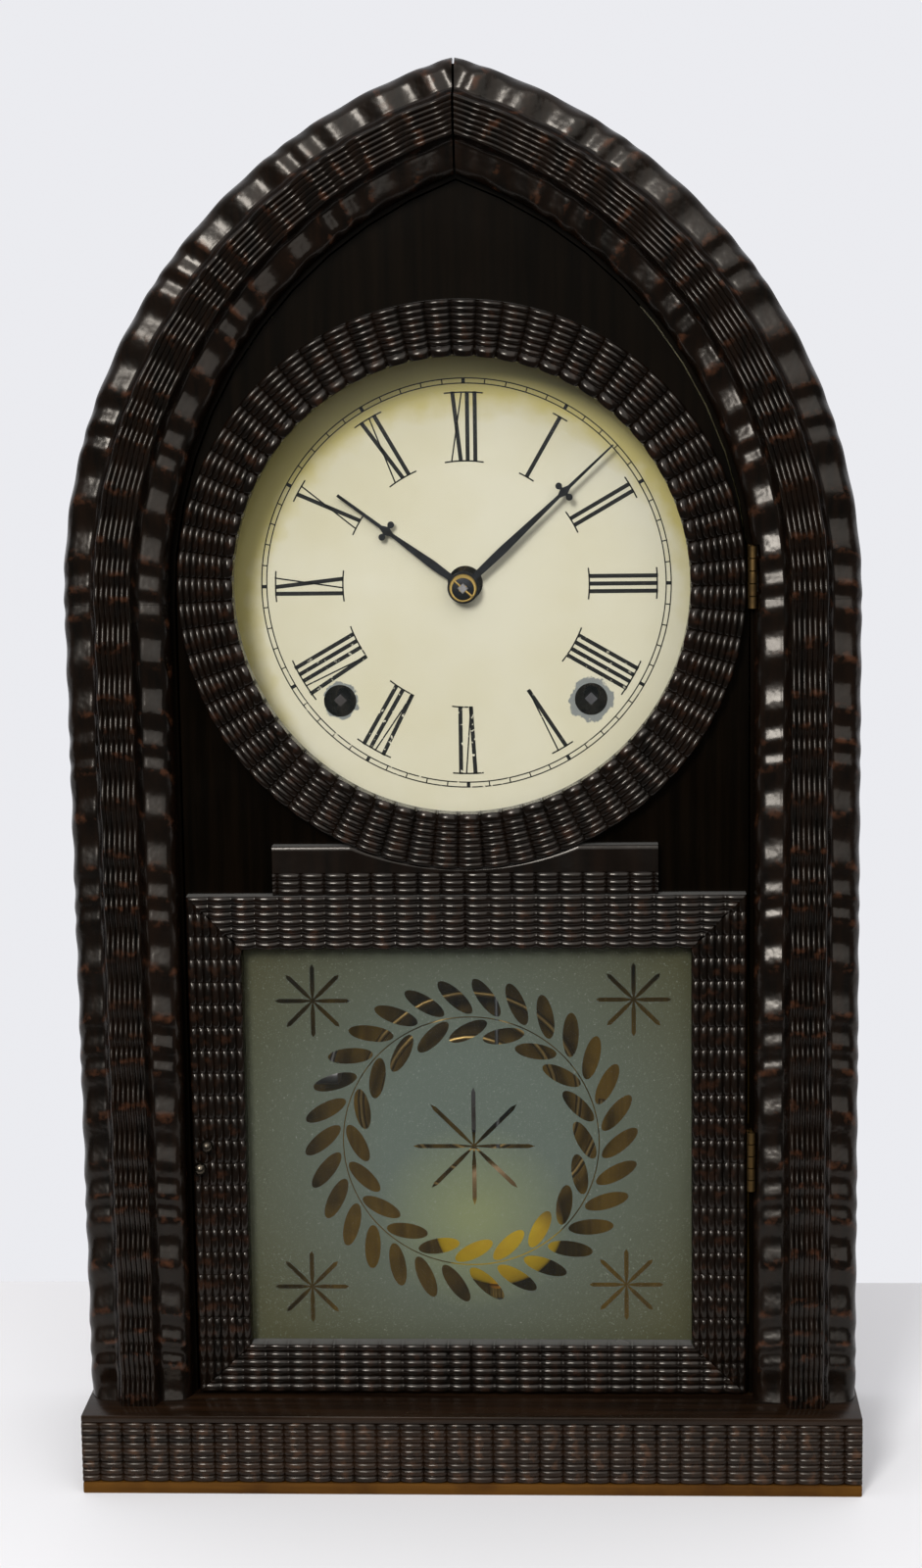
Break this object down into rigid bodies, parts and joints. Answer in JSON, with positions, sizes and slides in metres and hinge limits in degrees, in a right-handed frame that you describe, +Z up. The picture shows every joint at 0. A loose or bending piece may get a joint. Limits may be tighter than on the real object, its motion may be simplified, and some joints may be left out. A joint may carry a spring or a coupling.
{
  "type": "shelf clock",
  "caption": "Ripple-moulded pointed-arch shelf clock with glazed hinged door, frosted tablet, painted dial, spring-driven striking movement, pendulum and coiled gong.",
  "frame": {"origin": "middle of the base's footprint, on the surface the clock stands on", "axes": "+Z up, the dial and door face -Y, +X to the right of someone looking at the dial"},
  "size_m": [0.268, 0.1, 0.4829],
  "materials": {
    "dark_varnish": "glossy dark varnish, worn",
    "veneer": "smooth dark veneer, satin varnish",
    "golden_wood": "worn golden-brown board",
    "pine": "bare aged pine",
    "ivory_paint": "aged ivory paint on sheet metal",
    "frosted_glass": "frosted with clear ornament",
    "clear_glass": "clear",
    "brass": "aged brass",
    "dull_brass": "dull tarnished brass",
    "steel": "bright steel",
    "black_steel": "blackened steel",
    "iron": "dark casting"
  },
  "bodies": {
    "case": {"base_bottom_board": "golden_wood", "base_core": "dark_varnish", "base_top_board": "dark_varnish", "base_ripple_strip": "dark_varnish", "case_side_right": "dark_varnish", "case_side_left": "dark_varnish", "front_frame": "dark_varnish", "backboard": "pine", "moulding_right_upright": "dark_varnish", "moulding_left_upright": "dark_varnish", "moulding_right_arch": "dark_varnish", "moulding_left_arch": "dark_varnish", "hinge_upper_case_leaf": "dull_brass", "hinge_lower_case_leaf": "dull_brass", "dial_plate": "ivory_paint", "dial_rail_right": "pine", "dial_rail_left": "pine", "movement_front_plate": "brass", "movement_back_plate": "brass", "movement_strip_lower": "pine", "movement_strip_upper": "pine", "time_mainspring": "steel", "strike_mainspring": "steel", "verge_cock": "brass", "gong_coil": "steel", "gong_stand": "iron"},
    "door": {"door_panel": "veneer", "bezel_ring": "dark_varnish", "bezel_plinth": "dark_varnish", "tablet_stile_right": "dark_varnish", "tablet_stile_left": "dark_varnish", "tablet_rail_top": "dark_varnish", "tablet_rail_bottom": "dark_varnish", "dial_glass": "clear_glass", "tablet_glass": "frosted_glass", "hinge_upper_door_leaf": "dull_brass", "hinge_lower_door_leaf": "dull_brass", "door_pull": "dull_brass"},
    "latch": {"door_latch": "dull_brass"},
    "minute_work": {"centre_wheel": "brass", "minute_hand": "black_steel", "hand_collet": "brass"},
    "hour_work": {"hour_wheel": "brass", "hour_hand": "black_steel"},
    "minute_wheel_body": {"minute_wheel": "brass"},
    "time_second": {"time_second_wheel": "brass"},
    "time_great": {"time_great_wheel": "brass"},
    "time_winding": {"time_winding_arbor": "steel"},
    "third": {"third_wheel": "brass"},
    "escape": {"escape_wheel": "brass"},
    "verge_body": {"verge": "steel"},
    "pendulum": {"pendulum_rod": "steel", "pendulum_bob": "brass", "rating_nut": "brass"},
    "strike_great": {"strike_great_wheel": "brass"},
    "strike_winding": {"strike_winding_arbor": "steel"},
    "strike_pin": {"strike_pin_wheel": "brass"},
    "strike_warning": {"strike_warning_wheel": "brass"},
    "strike_fly_body": {"strike_fly": "brass"},
    "hammer": {"strike_hammer": "steel"}
  },
  "joints": [
    {"name": "door_hinge", "type": "hinge", "parent": "case", "child": "door", "pos_m": [0.097, -0.0309, 0.2], "axis": [0, 0, 1], "range_deg": [0, 115]},
    {"name": "latch_turn", "type": "hinge", "parent": "door", "child": "latch", "pos_m": [-0.09, 0, 0.119], "axis": [0, 1, 0], "range_deg": [0, 90]},
    {"name": "minute_spin", "type": "hinge", "parent": "case", "child": "minute_work", "pos_m": [0, 0, 0.309], "axis": [0, 1, 0], "continuous": true},
    {"name": "hour_spin", "type": "hinge", "parent": "case", "child": "hour_work", "pos_m": [0, 0, 0.309], "axis": [0, 1, 0], "continuous": true},
    {"name": "minute_wheel_spin", "type": "hinge", "parent": "case", "child": "minute_wheel_body", "pos_m": [-0.00789, 0, 0.32383], "axis": [0, 1, 0], "continuous": true},
    {"name": "time_second_spin", "type": "hinge", "parent": "case", "child": "time_second", "pos_m": [0.02278, 0, 0.29823], "axis": [0, 1, 0], "continuous": true},
    {"name": "time_great_spin", "type": "hinge", "parent": "case", "child": "time_great", "pos_m": [0.0432, 0, 0.2698], "axis": [0, 1, 0], "continuous": true},
    {"name": "time_winding_turn", "type": "hinge", "parent": "time_great", "child": "time_winding", "pos_m": [0.0432, 0, 0.2698], "axis": [0, 1, 0], "range_deg": [0, 1440]},
    {"name": "third_spin", "type": "hinge", "parent": "case", "child": "third", "pos_m": [0.01201, 0, 0.33116], "axis": [0, 1, 0], "continuous": true},
    {"name": "escape_spin", "type": "hinge", "parent": "case", "child": "escape", "pos_m": [0.009, 0, 0.353], "axis": [0, 1, 0], "continuous": true},
    {"name": "pendulum_swing", "type": "hinge", "parent": "case", "child": "pendulum", "pos_m": [0.009, 0, 0.3737], "axis": [0, 1, 0], "range_deg": [-4, 4]},
    {"name": "verge_rock", "type": "hinge", "parent": "case", "child": "verge_body", "pos_m": [0.009, 0, 0.3737], "axis": [0, 1, 0], "range_deg": [-4, 4]},
    {"name": "strike_pin_spin", "type": "hinge", "parent": "case", "child": "strike_pin", "pos_m": [-0.02278, 0, 0.29823], "axis": [0, 1, 0], "continuous": true},
    {"name": "strike_great_spin", "type": "hinge", "parent": "case", "child": "strike_great", "pos_m": [-0.0432, 0, 0.2698], "axis": [0, 1, 0], "continuous": true},
    {"name": "strike_winding_turn", "type": "hinge", "parent": "strike_great", "child": "strike_winding", "pos_m": [-0.0432, 0, 0.2698], "axis": [0, 1, 0], "range_deg": [0, 1440]},
    {"name": "strike_warning_spin", "type": "hinge", "parent": "case", "child": "strike_warning", "pos_m": [-0.02973, 0, 0.32245], "axis": [0, 1, 0], "continuous": true},
    {"name": "strike_fly_spin", "type": "hinge", "parent": "case", "child": "strike_fly_body", "pos_m": [-0.01965, 0, 0.33922], "axis": [0, 1, 0], "continuous": true},
    {"name": "hammer_swing", "type": "hinge", "parent": "case", "child": "hammer", "pos_m": [-0.008, 0, 0.272], "axis": [0, 1, 0], "range_deg": [0, 12]}
  ],
  "couplings": [
    {"joint": "hour_spin", "follows": "minute_spin", "ratio": 0.083333},
    {"joint": "minute_wheel_spin", "follows": "minute_spin", "ratio": -0.33333},
    {"joint": "time_second_spin", "follows": "minute_spin", "ratio": -0.16667},
    {"joint": "time_great_spin", "follows": "minute_spin", "ratio": 0.027778},
    {"joint": "third_spin", "follows": "minute_spin", "ratio": -6},
    {"joint": "escape_spin", "follows": "minute_spin", "ratio": 48},
    {"joint": "verge_rock", "follows": "pendulum_swing", "ratio": 1},
    {"joint": "strike_great_spin", "follows": "strike_pin_spin", "ratio": -0.16667},
    {"joint": "strike_warning_spin", "follows": "strike_pin_spin", "ratio": -6},
    {"joint": "strike_fly_spin", "follows": "strike_pin_spin", "ratio": 30}
  ]
}
